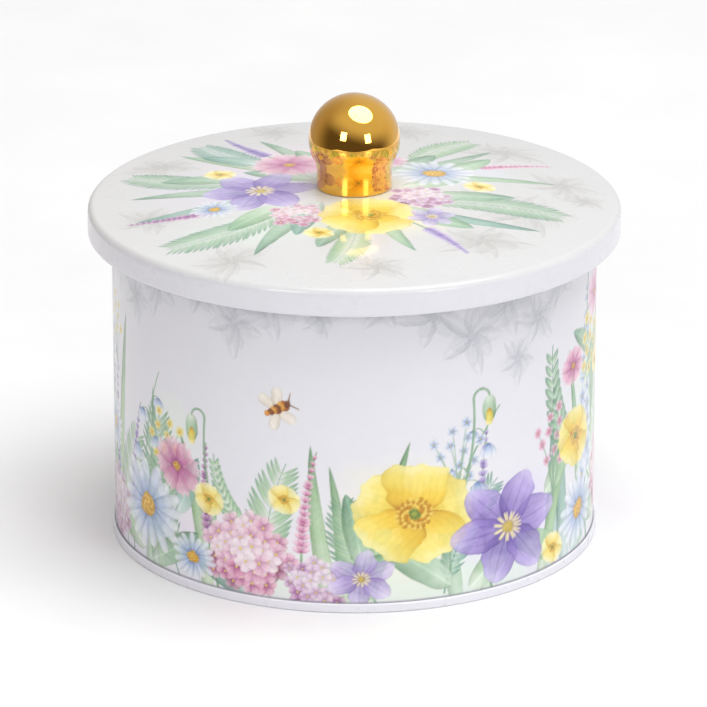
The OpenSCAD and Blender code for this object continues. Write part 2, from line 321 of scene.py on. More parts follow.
def clematis(sheet, x, y, r, turn=0, tip=1.0, tip_angle=90, tones=PURPLE, faint=None):
    """Six broad petals. faint, here and below, is the cover of a drawing that has the petals only."""
    head = Head(x, y, turn, tip, tip_angle)
    for k in in_turn(6):
        petal(sheet, head, k * 60, r, r * 0.64, tones, start=r * 0.04, fat=0.52, point=0.62,
              bend=0.05 * (-1) ** k, wave=0.14, veins=4, vein=0.17, rim=0.3, shade=0.24, mid=-0.14,
              cover=faint or PETAL_COVER)
    if faint:
        return
    for k in range(22):
        petal(sheet, head, k * 360 / 22 + 5 * math.sin(3 * k), r * 0.26, r * 0.045, STAMENS, start=0.02 * r,
              rim=0.1, vein=0, shade=0)
    dab(sheet, x, y, r * 0.09, ink("D9C25A"))


def poppy(sheet, x, y, r, turn=0, tip=1.0, tip_angle=90, tones=YELLOW, faint=None):
    head = Head(x, y, turn, tip, tip_angle)
    for k in in_turn(5):
        petal(sheet, head, k * 72, r, r * 1.12, tones, fat=0.66, point=0.36, wave=0.16, notch=0.05, veins=9,
              vein=0.1, rim=0.28, shade=0.24, cover=faint or 1.04)
    if faint:
        return
    pollen(sheet, head, r * 0.3, 60, low=0.3, size=0.12)
    dab(sheet, x, y, r * 0.1, ink("9CAE4E"))
    for k in range(8):
        dab(sheet, *head.place(r * 0.07, k * 45), r * 0.02, ink("6F8436"))


def daisy(sheet, x, y, r, turn=0, tip=1.0, tip_angle=90):
    head = Head(x, y, turn, tip, tip_angle)
    for k in in_turn(17):
        petal(sheet, head, k * 360 / 17 + 4 * math.sin(5.1 * k), r * (0.86 + 0.08 * math.sin(2.3 * k)),
              r * 0.28, PALE_BLUE, start=r * 0.16, fat=0.6, point=0.34, bend=0.06 * math.sin(1.7 * k),
              wave=0.1, veins=3, vein=0.16, rim=0.38, shade=0.26)
    dab(sheet, x, y - r * 0.02, r * 0.26, ink("EDBB34"), rim=0.35, squash=tip)
    pollen(sheet, head, r * 0.22, 40, size=0.1, tones=inks("C98A22 F8DA6A"))


def cosmos(sheet, x, y, r, turn=0, tip=1.0, tip_angle=90, tones=PINK, faint=None):
    head = Head(x, y, turn, tip, tip_angle)
    for k in in_turn(8):
        petal(sheet, head, k * 45, r, r * 0.62, tones, start=r * 0.06, fat=0.72, point=0.3, notch=0.14,
              veins=6, vein=0.15, rim=0.26, shade=0.18, cover=faint or PETAL_COVER)
    if faint:
        return
    dab(sheet, x, y, r * 0.16, ink("E3B23C"), squash=tip)
    pollen(sheet, head, r * 0.14, 24, size=0.13, tones=inks("A8701E E9C85A"))


def floret(sheet, x, y, r, turn, tones):
    head = Head(x, y, turn, 0.9, 70 + turn)
    for k in range(5):
        petal(sheet, head, k * 72, r, r * 0.82, tones, fat=0.62, point=0.36, veins=1, vein=0.16,
              rim=0.34, shade=0.22)
    dab(sheet, x, y, r * 0.14, ink("F6E08A"), rim=0.4)


def cluster(sheet, x, y, r, tones, count, squash=0.86):
    """A rounded head of small florets, the outer ones in shade."""
    rng = np.random.default_rng(int(abs(x) * 13 + abs(y) * 7))
    for k in range(count, 0, -1):
        q, a = r * math.sqrt(k / count) * rng.uniform(0.9, 1.06), math.radians(k * GOLDEN_ANGLE)
        px, py = x + q * math.cos(a), y + q * math.sin(a) * squash
        light = rng.uniform(0, 0.5) + 0.3 * (py > y - r * 0.2) - 0.24 * (k > count * 0.6)
        mixed = [c + (1 - c) * light if light > 0 else c * (1 + light) for c in tones]
        floret(sheet, px, py, r * rng.uniform(0.22, 0.3), rng.uniform(0, 90), mixed)


def spray(sheet, x, y, r, tones, count):
    """An airy head of florets, each on its own thin stem."""
    foot = (x, y - 2.2 * r)
    for k in range(count):
        q, a = r * math.sqrt((k + 0.5) / count), math.radians(k * GOLDEN_ANGLE)
        px, py = x + q * math.cos(a), y + q * math.sin(a)
        stroke(sheet, arch(foot, (px, py), 0.06 * math.cos(a), 12), 0.5, STEM, cover=0.7)
        floret(sheet, px, py, r * 0.2 + 0.1 * (k % 3), 31 * k, tones)


def leaf(sheet, x, y, angle, length, width, tones, bend=0.1, cover=PETAL_COVER):
    """A broad leaf with a pale midrib."""
    petal(sheet, Head(x, y), angle, length, width, tones, fat=0.42, point=0.62, bend=bend, veins=1, vein=0,
          rim=0.28, shade=0.34, mid=0.22, cover=cover)


def blade(sheet, x, y, angle, length, width, bend, tones):
    """A long narrow leaf, widest near its foot."""
    petal(sheet, Head(x, y), angle, length, width, tones, fat=0.25, point=0.5, bend=bend, wave=0.03, veins=4,
          vein=0.14, rim=0.3, shade=0.36)


def stalk(x, y, angle, length, lift):
    """Points along a stalk from its foot at (x, y)."""
    a = math.radians(angle)
    return arch((x, y), (x + length * math.cos(a), y + length * math.sin(a)), lift, STALK_POINTS)


def knot(share):
    """Number of the stalk's point at a share of its length, never the last."""
    return min(int(share * (STALK_POINTS - 1)), STALK_POINTS - 2)


def heading(line, i):
    """Direction of a stalk at its point i, in degrees."""
    d = line[i + 1] - line[i]
    return math.degrees(math.atan2(d[1], d[0]))


def fern(sheet, x, y, angle, length, tones, count):
    """A light frond with slender leaflets that stand apart."""
    line = stalk(x, y, angle, length, 0.08)
    stroke(sheet, line, 0.5, tones[-1], cover=0.8)
    for k in range(count):
        f = 0.14 + 0.84 * k / count
        i = knot(f)
        size = length * 0.23 * math.sin(math.pi * (0.1 + 0.88 * (1 - f))) ** 0.8
        for side in (-1, 1):
            turn = heading(line, i) + side * (60 - 14 * f)
            petal(sheet, Head(*line[i]), turn, size, size * 0.13 + 0.3, tones, fat=0.4, point=0.55,
                  bend=-0.14 * side, rim=0.2, veins=1, vein=0)


def spike(sheet, x, y, angle, length, tones, size=2.6, low=0.38, count=16):
    """A spire of small buds, wide at the foot and narrow at the tip."""
    rng = np.random.default_rng(int(abs(x) * 10))
    line = stalk(x, y, angle, length, 0.05)
    stroke(sheet, line, 0.8, ink("8FB08C"))
    for k in range(count):
        i = knot(low + (1 - low) * k / count)
        grow = size * (1.1 - 0.65 * k / count)
        for side in (-1, 1, 0.2):
            turn = heading(line, i) + side * (58 - 30 * k / count) + rng.uniform(-12, 12)
            petal(sheet, Head(*line[i]), turn, grow, grow * 0.6, tones, fat=0.6, point=0.4, rim=0.34,
                  veins=2)


def spire(sheet, x, y, angle, length, tones, size, low=0.3, count=15):
    """A tall spire of open florets, with buds above them."""
    line = stalk(x, y, angle, length, 0.03)
    stroke(sheet, line, 1.4, ink("86AB86"), taper=0.6)
    for k in range(count):
        i = knot(low + (1 - low) * k / count)
        grow = size * (1.05 - 0.72 * k / count)
        for side in (-1, 1):
            px, py = line[i] + (side * grow * 0.62, 0.4 * grow * math.sin(2.1 * k + side))
            if k < count * 0.72:
                floret(sheet, px, py, grow, 23 * k, tones)
            else:
                dab(sheet, px, py, grow * 0.45, tones[1], rim=0.4)


def bells(sheet, x, y, angle, length, count):
    """A slender stem with nodding bells."""
    line = stalk(x, y, angle, length, 0.1)
    stroke(sheet, line, 0.7, STEM)
    for k in range(count):
        i = knot(0.49 + 0.47 * k / count)
        side = (-1) ** k
        end = line[i] + (side * (5.5 - 0.6 * k), 1.2)
        stroke(sheet, arch(line[i], end, 0.25 * side), 0.45, STEM)
        for spread in (-24, 24, 0):
            petal(sheet, Head(*end), -90 + spread, 5.6 - 0.5 * k, 3.0, PALE_BLUE, fat=0.7, point=0.36,
                  rim=0.4, veins=2)


def buttercup(sheet, x, y, r, turn=0):
    """A small pale cousin of the poppy, tipped a little away."""
    poppy(sheet, x, y, r, turn, 0.85, 60, BUTTER)


def sprig(sheet, x, y, angle, length, tones, count=9):
    """A twig of small oval leaves in pairs."""
    line = stalk(x, y, angle, length, 0.1)
    stroke(sheet, line, 0.6, tones[-1])
    for k in range(count):
        i = knot(0.2 + 0.78 * k / count)
        size = length * 0.2 * (1 - 0.5 * k / count)
        for side in (-1, 1):
            leaf(sheet, *line[i], heading(line, i) + side * 42, size, size * 0.42, tones, bend=-0.1 * side)


def poppy_bud(sheet, x, y, lean):
    """A nodding bud. lean is the radius of its stem's hook, below 0 if it hangs to the left."""
    turns = np.radians(np.linspace(180, 0, 13))
    hook = np.stack([x - lean + lean * np.cos(turns), y + 3 + abs(lean) * np.sin(turns)], 1)
    stem = arch((x - 3.2 * lean, y - 24), hook[0], -0.05 * np.sign(lean))
    stroke(sheet, np.concatenate([stem, hook[1:]]), 0.8, STEM, taper=0.1)
    petal(sheet, Head(x, y + 3.4), -90, 8, 4.6, GREEN, fat=0.5, point=0.42, rim=0.35, veins=3, shade=0.3)
    petal(sheet, Head(x, y - 0.6), -90, 5, 2.6, YELLOW, fat=0.6, point=0.4)


def bee(sheet, x, y, turn):
    """Four wings, a striped body, a head and two feelers."""
    head = Head(x, y, turn)
    for angle in (118, 62, 232, 298):
        petal(sheet, head, angle, 6.4, 3.2, inks("E7D7C0 F3E9DA F7F1E6"), fat=0.66, point=0.4, veins=4,
              vein=0.3, rim=0.45)
    for step, tone in enumerate(inks("B4661E F0B454 8A4A18 F0B454 8A4A18 E9A23C")):
        dab(sheet, *head.place(2.4 - step * 1.15, 0), 1.5 - 0.06 * step ** 1.5, tone, rim=0.4)
    dab(sheet, *head.place(3.6, 0), 1.0, ink("7A4420"))
    for angle in (24, -24):
        stroke(sheet, np.array([head.place(4.2, angle / 3), head.place(6.4, angle)]), 0.4, ink("7A5230"))


# ---- the two pictures

WALL_PAPER, LID_PAPER = ink("E5E5EB"), ink("D4D4D4")
LID_VEIL = 0.15  # how far the lid's picture is paled by its paper


def repeat(sheet, draw, rows, *shared):
    """Draws a thing once for each row of values, with the values that all of them share."""
    for row in rows:
        draw(sheet, *row, *shared)


def stains(sheet, rows):
    """Soft stains of diluted paint, under everything else."""
    for x, y, wide, high, code, cover in rows:
        wash(sheet, x, y, wide, high, ink(code), cover)


def etched(sheet, x, y, size, turn, tones, cover):
    """A faint grey flower with a few leaves, as on an old engraving."""
    wash(sheet, x, y, size * 1.5, size * 1.1, tones[1], 0.5 * cover)
    for k in range(5):
        long = size * (1.15 + 0.25 * (k % 2))
        leaf(sheet, x, y, turn + 40 + 71 * k, long, size * 0.55, tones, cover=cover)
    draw = (poppy, clematis, cosmos)[int(turn) % 3]
    draw(sheet, x, y, size, turn, 0.75, turn, tones, faint=cover)
    head = Head(x, y, turn)
    for k in range(14):
        dab(sheet, *head.place(size * 0.16 * (1 + k % 2), k * 51), size * 0.03, tones[0] * 0.9, cover)


def wall_greens(sheet):
    """Leaves and spires of the wall's border, which stand behind its flowers."""
    repeat(sheet, blade, [
        (-106, 0, 84, 60, 5, 0.1, SAGE), (-94, 0, 99, 52, 4.5, -0.1, GREEN), (-70, 0, 80, 56, 5, 0.12, SAGE),
        (-62, 0, 104, 40, 4, -0.14, GREEN), (-46, 0, 76, 34, 4, 0.14, GREEN),
        (-2, 0, 82, 40, 4.5, -0.1, SAGE), (30, 0, 97, 44, 5, 0.1, SAGE),
        (64, 0, 83, 60, 6.4, 0.09, BLUE_GREEN), (73, 0, 99, 50, 6, -0.1, BLUE_GREEN),
        (84, 0, 94, 66, 4.4, 0.08, GREEN),
        (104, 0, 82, 58, 4.6, -0.08, SAGE), (38, 0, 66, 30, 4, 0.2, GREEN), (-6, 0, 103, 50, 5, -0.1, MOSS),
        (-2, 0, 92, 44, 4.6, 0.08, MOSS), (3, 0, 80, 52, 5.4, -0.07, MOSS),
        (-92, 0, 87, 74, 5.4, -0.06, MOSS), (-44, 0, 97, 48, 4.6, 0.1, MOSS),
        (60, 0, 76, 46, 4.6, -0.1, MOSS)])
    repeat(sheet, fern, [
        (-54, 0, 101, 52, SAGE), (-24, 0, 84, 44, GREEN), (8, 0, 108, 36, SAGE), (98, 0, 80, 72, GREEN),
        (-84, 0, 78, 42, GREEN), (26, 4, 62, 36, BLUE_GREEN)], 17)
    repeat(sheet, spike, [
        (-99, 0, 88, 68, LILAC), (-88, 0, 95, 58, PURPLE), (-79, 0, 84, 50, LILAC), (-40, 0, 96, 46, MAUVE),
        (-14, 0, 86, 48, BLUSH), (42, 0, 93, 52, LILAC)])
    repeat(sheet, spire, [(90, 0, 91, 86, PALE_BLUE, 4.6), (108, 0, 87, 64, LILAC, 3.8)])
    repeat(sheet, bells, [(-66, 0, 88, 62, 5), (28, 10, 72, 50, 4)])
    repeat(sheet, sprig, [(78, 30, 108, 42, SAGE), (-30, 20, 118, 26, GREEN)])
    repeat(sheet, leaf, [
        (-72, 6, 150, 24, 9, GREEN), (-68, 4, 28, 24, 8, SAGE), (-28, 4, 160, 20, 8, BLUE_GREEN),
        (-6, 6, 30, 20, 8, GREEN), (28, 6, 140, 26, 9, SAGE), (34, 4, 40, 22, 8, GREEN),
        (70, 6, 150, 24, 9, GREEN), (76, 4, 30, 26, 9, BLUE_GREEN), (98, 8, 150, 20, 8, SAGE),
        (2, 14, 96, 22, 7, SAGE), (62, 26, 40, 24, 8, GREEN), (-56, 22, 60, 20, 7, BLUE_GREEN),
        (86, 52, 40, 18, 6, GREEN), (92, 60, 140, 18, 6, SAGE), (-104, 10, 60, 22, 8, GREEN)])


def wall_picture(sheet):
    """A border of garden flowers that grows from the foot of the wall, with one tall group."""
    stains(sheet, [
        (-84, 18, 34, 26, "E4DFF2", 0.8), (-34, 12, 30, 20, "F2E3EE", 0.7), (16, 24, 30, 26, "F6F0D2", 0.7),
        (50, 18, 30, 24, "E3DDF3", 0.8), (92, 40, 22, 44, "E2EDE4", 0.9), (-60, 40, 16, 20, "E6EFE4", 0.7),
        (30, 6, 40, 14, "DDEBDD", 0.7), (-10, 8, 40, 14, "DFECE0", 0.7), (-104, 50, 20, 26, "F0E9F4", 0.6)])
    repeat(sheet, etched, [
        (-102, 86, 8, 40), (-88, 90, 9, 75), (-76, 82, 7, 20), (-64, 89, 8, 140), (-47, 90, 6, 61),
        (-35, 84, 8, 11), (-24, 90, 9, 93), (-10, 88, 5, 30), (8, 91, 6, 110), (22, 87, 8, 64),
        (34, 80, 9, 25), (46, 88, 10, 96), (58, 80, 7, 53), (50, 70, 6, 11), (68, 90, 8, 132)], GREY, 0.44)
    wall_greens(sheet)
    repeat(sheet, spray, [
        (94, 62, 11, BUTTER, 15), (-102, 56, 10, PALE_BLUE, 15), (-94, 70, 7, BUTTER, 8),
        (30, 46, 9, PALE_BLUE, 12), (66, 42, 9, BLUSH, 12), (-62, 44, 8, BUTTER, 9)])
    repeat(sheet, poppy_bud, [(40, 58, 2.6), (-50, 50, -2.4)])
    repeat(sheet, cluster, [
        (-94, 13, 12, MAUVE, 30), (-32, 15, 13, PINK, 34), (-11, 8, 9, MAUVE, 22), (105, 20, 11, PINK, 28)])
    repeat(sheet, cosmos, [
        (-56, 36, 9.5, 14, 0.85, 60), (97, 76, 9.5, 8, 0.8, 75, BLUSH), (77, 60, 7, 30, 0.8, 100)])
    clematis(sheet, 2, 10, 10, 24, 0.85, 100, LILAC)
    poppy(sheet, 79, 38, 11, 20, 0.8, 70)
    daisy(sheet, -98, 36, 9, 0, 0.85, 80)
    repeat(sheet, buttercup, [(-44, 29, 5.5, 10), (-20, 33, 5, 40), (100, 54, 5)])
    daisy(sheet, -70, 20, 15, 6, 0.88, 80)
    poppy(sheet, 17, 29, 18, 12, 0.84, 80)
    clematis(sheet, 47, 20, 19, 10, 0.86, 75)
    repeat(sheet, daisy, [(82, 15, 12, 0, 0.88, 100), (-50, 10, 8, 30, 0.85, 90)])
    buttercup(sheet, 66, 8, 5.5, 20)
    bee(sheet, -22, 60, 28)


def lid_picture(sheet):
    """A loose wreath of the same flowers round the knob, among faint grey ones."""
    stains(sheet, [
        (-30, -2, 32, 24, "DCD6EC", 0.7), (4, -24, 30, 20, "F0E9C4", 0.7), (-20, 26, 26, 18, "EFDCE8", 0.6),
        (24, 16, 24, 18, "DCE3F0", 0.6), (-24, -30, 30, 18, "D9E8DA", 0.6), (0, 0, 30, 24, "DDE8DC", 0.6)])
    repeat(sheet, etched, [
        (48, -18, 14, 25), (36, -42, 11, 96), (60, 8, 10, 11), (44, 38, 11, 64), (-56, 26, 9, 75),
        (-58, -22, 9, 20), (-34, -56, 10, 140), (6, -62, 8, 61), (14, 60, 10, 30), (-24, 60, 9, 11),
        (66, -4, 6, 53)], PEARL, 0.42)
    repeat(sheet, blade, [
        (-30, -4, 172, 34, 6, 0.12, SAGE), (-26, -10, 206, 38, 7.5, -0.1, BLUE_GREEN),
        (-20, 14, 150, 38, 6, -0.1, GREEN), (-12, -20, 236, 36, 6.5, 0.14, SAGE),
        (8, -28, -76, 24, 5, 0.14, GREEN), (14, -20, -24, 40, 6, 0.12, BLUE_GREEN),
        (16, 14, 38, 34, 5, 0.12, SAGE), (22, 8, 8, 36, 5, -0.12, GREEN), (-14, 22, 112, 30, 5, 0.1, SAGE)])
    repeat(sheet, fern, [
        (-18, -18, 218, 44, SAGE), (16, 18, 58, 36, GREEN), (18, -14, -8, 42, SAGE),
        (-20, 18, 132, 38, BLUE_GREEN), (0, -28, -100, 32, GREEN), (-28, 4, 160, 40, SAGE)], 22)
    repeat(sheet, spike, [
        (12, -26, -52, 32, LILAC), (-28, -14, 196, 38, MAUVE), (-16, 20, 124, 40, PURPLE),
        (26, 14, 22, 34, BLUSH)])
    repeat(sheet, leaf, [
        (-20, -16, 224, 24, 8.5, GREEN), (-34, 8, 168, 22, 8, SAGE), (12, -18, -40, 26, 9, GREEN),
        (10, 12, 50, 24, 8, SAGE), (-8, 14, 106, 24, 8, GREEN), (-10, -14, 250, 26, 8, BLUE_GREEN),
        (22, -6, -6, 24, 7.5, SAGE), (28, 16, 44, 18, 7, GREEN), (-28, 22, 140, 20, 7.5, BLUE_GREEN),
        (-2, -30, -120, 20, 7, SAGE), (14, 0, 20, 20, 7, GREEN), (-12, 6, 150, 22, 8, SAGE)])
    repeat(sheet, cluster, [(19, -9, 8.5, MAUVE, 26, 1.0), (-16, -24, 8, PINK, 24, 1.0)])
    cosmos(sheet, -19, 21, 11, 10)
    daisy(sheet, 23, 13, 11.5)
    poppy(sheet, 4, -25, 14, 14)
    clematis(sheet, -27, -3, 16, 8)
    daisy(sheet, -40, -17, 6.5)
    clematis(sheet, 22, -25, 7, 20, 1.0, 90, LILAC)
    repeat(sheet, buttercup, [(-39, 14, 5), (36, 2, 5), (-10, -38, 4.6)])
    cosmos(sheet, 10, 24, 6, 30, tones=BLUSH)
    sheet.lay(slice(None), LID_PAPER, np.full(len(sheet.rgb), LID_VEIL))


# ---- the printed coats as meshes

FACE_FROM, BACK_TO = 0.03, 0.012  # shares of the texture's height for a coat's face and back
EDGE_FROM, EDGE_TO = 0.016, 0.024  # and for its narrow edges
BACK_DISC = 0.07  # radius of the texture's corner disc for the lid's back
BACK_MARGIN = 0.98  # and how much of that disc it fills
SKIRT_STEP = 1.2  # spacing of the print's points down the plain skirt
EDGE_STEPS, FOLD_STEPS = 9, 8  # steps of the lid's small bends
SHARP_ANGLE = 40  # degrees between faces that leave an edge sharp
SEAM_SHADOW_INK = ink("908C9C")  # painted shadow: a dark line along the crease where the wall dips into the foot's seam


def linear(rgb):
    """Display colour as the linear light that shaders work in."""
    return np.where(rgb <= 0.04045, rgb / 12.92, ((np.clip(rgb, 0, 1) + 0.055) / 1.055) ** 2.4)


def in_scene(name, data):
    """A new object in the scene, from a mesh, a lamp or a camera."""
    made = bpy.data.objects.new(name, data)
    bpy.context.scene.collection.objects.link(made)
    return made


def coat_mesh(name, points, faces, uvs, rgb):
    """A piece from points in millimetres. faces and uvs are lists of arrays, with one row for each face."""
    mesh = bpy.data.meshes.new(name)
    sizes = np.concatenate([np.full(len(f), f.shape[1]) for f in faces])
    mesh.vertices.add(len(points))
    mesh.vertices.foreach_set("co", (points * MM).astype(np.float32).ravel())
    mesh.loops.add(int(sizes.sum()))
    mesh.loops.foreach_set("vertex_index", np.concatenate([f.ravel() for f in faces]).astype(np.int32))
    mesh.polygons.add(len(sizes))
    mesh.polygons.foreach_set("loop_start", np.concatenate([[0], np.cumsum(sizes)[:-1]]).astype(np.int32))
    mesh.update(calc_edges=True)
    layer = mesh.uv_layers.new(name="OFBake")
    layer.uv.foreach_set("vector", np.concatenate([uv.ravel() for uv in uvs]).astype(np.float32))
    colour = mesh.color_attributes.new("print", "FLOAT_COLOR", "POINT")
    opaque = np.concatenate([linear(rgb), np.ones((len(rgb), 1))], 1)
    colour.data.foreach_set("color", opaque.astype(np.float32).ravel())
    mesh.shade_smooth()
    mesh.set_sharp_from_angle(angle=math.radians(SHARP_ANGLE))
    return in_scene(name, mesh)


def wall_patch(turns, zs, rgb, share):
    """A closed sheet of print on the wall: its painted face, its back and its narrow edges."""
    rows, cols = len(zs), len(turns)

    def line(r, z):
        return np.stack([r * np.sin(turns), -r * np.cos(turns), np.full(cols, z)], 1)

    def band(low, high):
        return np.stack([low[:-1], low[1:], high[1:], high[:-1]], 1)

    points = [line(WALL_R + COAT, z) for z in zs] + [line(WALL_R - COAT, z) for z in (zs[0], zs[-1])]
    face = np.arange(rows * cols).reshape(rows, cols)
    foot, head = rows * cols + np.arange(2 * cols).reshape(2, cols)
    faces = [np.concatenate([band(face[i], face[i + 1]) for i in range(rows - 1)]),
             band(head, foot),
             np.concatenate([band(foot, face[0]), band(face[-1], head)]),
             np.concatenate([face[:, 0], [head[0], foot[0]]])[None, ::-1],
             np.concatenate([face[:, -1], [head[-1], foot[-1]]])[None]]
    across = np.tile(share, rows + 2)
    up = np.concatenate([np.repeat((zs - zs[0]) / (zs[-1] - zs[0]), cols), np.zeros(cols), np.ones(cols)])
    painted = np.arange(len(up)) < rows * cols
    rim = np.where(painted, EDGE_TO, EDGE_FROM)
    maps = [(across, FACE_FROM + (1 - FACE_FROM) * up), (across, BACK_TO * up),
            (across, rim), (up, rim), (up, rim)]
    uvs = [np.stack(uv, 1)[f] for uv, f in zip(maps, faces)]
    return np.concatenate(points), faces, uvs, np.concatenate([rgb, np.tile(WALL_PAPER, (2 * cols, 1))])


def wall_coat(name, spans, columns, zs, picture):
    """Part of the wall's print. spans are its stretches, in columns counted round the wall from the front,
    and a turn holds the picture twice."""
    low, high = spans[0][0], spans[-1][1]
    points, faces, uvs, rgb, count = [], [], [], [], 0
    for first, last in spans:
        k = np.arange(first, last + 1)
        painted = picture[:, (k + columns // 2) % columns].reshape(-1, 3)
        patch = wall_patch(k * math.pi / columns, zs, painted, (k - low) / (high - low))
        points.append(patch[0])
        faces += [f + count for f in patch[1]]
        uvs += patch[2]
        rgb.append(patch[3])
        count += len(patch[0])
    return coat_mesh(name, np.concatenate(points), faces, uvs, np.concatenate(rgb))


def wall_coats():
    """The print on the front and the back of the wall, with the side seam's groove left bare."""
    tile = math.pi * WALL_R
    columns = round(tile / WALL_STEP)
    upper_rows = round((PRINT_HEAD - UPPER_FROM) / UPPER_STEP)
    zs = np.concatenate([np.arange(PRINT_FOOT, UPPER_FROM, WALL_STEP),
                         np.linspace(UPPER_FROM, PRINT_HEAD, upper_rows)])
    x, y = np.meshgrid(tile * (np.arange(columns) - columns // 2) / columns, zs)
    sheet = Sheet(x.ravel(), y.ravel(), WALL_PAPER, tile)
    wall_picture(sheet)
    # Painted shadow: the print is darkened along its lowest half millimetre, in the crease at the seam
    sheet.lay(slice(None), SEAM_SHADOW_INK, 0.6 * ramp(0.6, 0.1, sheet.y - SEAM_TOP))
    picture = sheet.rgb.reshape(len(zs), columns, 3)
    quarter = columns // 2
    groove = (tile - GROOVE_X) * columns / tile
    margin = GROOVE_MARGIN * columns / tile
    front = wall_coat("wall_print_front", [(-quarter, quarter)], columns, zs, picture)
    spans = [(quarter, math.floor(groove - margin)), (math.ceil(groove + margin), 2 * columns - quarter)]
    return front, wall_coat("wall_print_back", spans, columns, zs, picture)


def arc(x, z, r, start, stop, count):
    """Points of an arc round (x, z), with angles in degrees from the x axis."""
    turns = np.radians(np.linspace(start, stop, count + 1))
    return [(x + r * math.cos(a), z + r * math.sin(a)) for a in turns]


def lid_profile(out, count):
    """The lid's sheet from its hole over the top, down the skirt and round the hem, at a distance out from
    its face. count is how many steps the top has."""
    edge_x, edge_z = SKIRT_R - EDGE_R, SKIRT_FOOT + SKIRT_H - EDGE_R
    rise = LID_TOP - edge_z
    dome_r = (edge_x ** 2 + rise ** 2 - EDGE_R ** 2) / (2 * (rise - EDGE_R))
    dome_z = LID_TOP - dome_r
    tangent = math.degrees(math.atan2(edge_z - dome_z, edge_x))
    top = 90 - math.degrees(HOLE_R / dome_r)
    fold_x, fold_z = SKIRT_R - FOLD_R, SKIRT_FOOT + FOLD_R
    skirt_z = np.arange(edge_z, fold_z, -SKIRT_STEP)[1:]
    return (arc(0, dome_z, dome_r + out, top, tangent, count)[:-1]
            + arc(edge_x, edge_z, EDGE_R + out, tangent, 0, EDGE_STEPS)
            + [(SKIRT_R + out, z) for z in skirt_z] + arc(fold_x, fold_z, FOLD_R + out, 0, -180, FOLD_STEPS)
            + [(SKIRT_R - 2 * FOLD_R - out, SKIRT_FOOT + HEM_H)])


def ring_points(r):
    """How many points a ring has. It doubles outward to keep them about as far apart."""
    return RING_POINTS * 2 ** sum(r > limit for limit in RING_DOUBLES)


def lid_colours(out, angle):
    """The print's colours at distances and angles round the middle of the sheet, laid flat."""
    sheet = Sheet(out * np.cos(angle), out * np.sin(angle), LID_PAPER)
    lid_picture(sheet)
    sheet.lay(slice(None), WALL_PAPER, ramp(SKIRT_R - 0.5, SKIRT_R + 1.5, out))
    return sheet.rgb


def lid_coat():
    """The print on the lid: rings of points over its face and back along the inside of the coat."""
    steps = round(SKIRT_R / LID_STEP)
    over = lid_profile(COAT, steps)
    under = lid_profile(-COAT, steps // BACK_COARSER)[::-1]
    rings = over + under
    counts = [ring_points(r) for r, _ in rings]
    starts = np.concatenate([[0], np.cumsum(counts)])
    angle = np.concatenate([2 * math.pi * np.arange(n) / n for n in counts])
    r = np.repeat([r for r, _ in rings], counts)
    z = np.repeat([z for _, z in rings], counts)
    lengths = [math.dist(a, b) for a, b in zip(over, over[1:])]
    travel = np.concatenate([over[0][0] + np.concatenate([[0], np.cumsum(lengths)]), np.zeros(len(under))])
    out = np.repeat(travel, counts)
    points = np.stack([r * np.cos(angle), r * np.sin(angle), z], 1)
    painted = starts[len(over)]
    rgb = np.tile(WALL_PAPER, (len(points), 1))
    rgb[:painted] = lid_colours(out[:painted], angle[:painted])
    circle = np.stack([np.cos(angle), np.sin(angle)], 1)
    face_map = 0.5 + 0.5 * circle * (out / travel.max())[:, None]
    back_map = BACK_DISC * (1 + circle * (r / SKIRT_R)[:, None] * BACK_MARGIN)
    faces, uvs = [], []
    for i in range(len(rings)):
        j = (i + 1) % len(rings)
        band = ring_band(starts[i] + np.arange(counts[i]), starts[j] + np.arange(counts[j]))
        faces.append(band)
        uvs.append((face_map if j and j < len(over) else back_map)[band])
    return coat_mesh("lid_print", points, faces, uvs, rgb)


def ring_band(a, b):
    """Faces between two rings. Where one has twice as many points, each face has five corners."""
    after_a, after_b = np.roll(a, -1), np.roll(b, -1)
    if len(a) == len(b):
        return np.stack([a, b, after_b, after_a], 1)
    if len(a) < len(b):
        return np.stack([a, b[::2], b[1::2], after_b[1::2], after_a], 1)
    return np.stack([a[::2], b, after_b, after_a[1::2], a[1::2]], 1)


# ---- materials

MIX_INPUTS, MIX_OUTPUT = (0, 6, 7), 2  # the Mix node's sockets for its share and two colours
TIN_TONES = ("E4E4E5", "D6D7D9")
SEAM_WHITE = "E4E3EA"


def rgba(code):
    return (*linear(ink(code)), 1)


class Tree:
    """A node tree. A value here is a number, a colour or another node's output."""

    def __init__(self, tree):
        self.tree = tree

    def add(self, kind, **settings):
        node = self.tree.nodes.new(kind)
        for key, value in settings.items():
            setattr(node, key, value)
        return node

    def feed(self, socket, value):
        if isinstance(value, bpy.types.NodeSocket):
            self.tree.links.new(value, socket)
        else:
            socket.default_value = value

    def fill(self, node, *values):
        """Feeds a node's inputs in their order, and gives its outputs."""
        for socket, value in zip(node.inputs, values):
            self.feed(socket, value)
        return node.outputs

    def axes(self, vector):
        """The x, y and z of a vector."""
        return self.fill(self.add("ShaderNodeSeparateXYZ"), vector)

    def maths(self, operation, *values):
        return self.fill(self.add("ShaderNodeMath", operation=operation), *values)[0]

    def between(self, value, low, high, spread=(0.3, 0.7), **settings):
        """From low to high as a value goes over its spread, which is noise's unless given."""
        return self.fill(self.add("ShaderNodeMapRange", **settings), value, *spread, low, high)[0]

    def mix(self, share, a, b, blend="MIX"):
        node = self.add("ShaderNodeMix", data_type="RGBA", blend_type=blend)
        for i, value in zip(MIX_INPUTS, (share, a, b)):
            self.feed(node.inputs[i], value)
        return node.outputs[MIX_OUTPUT]


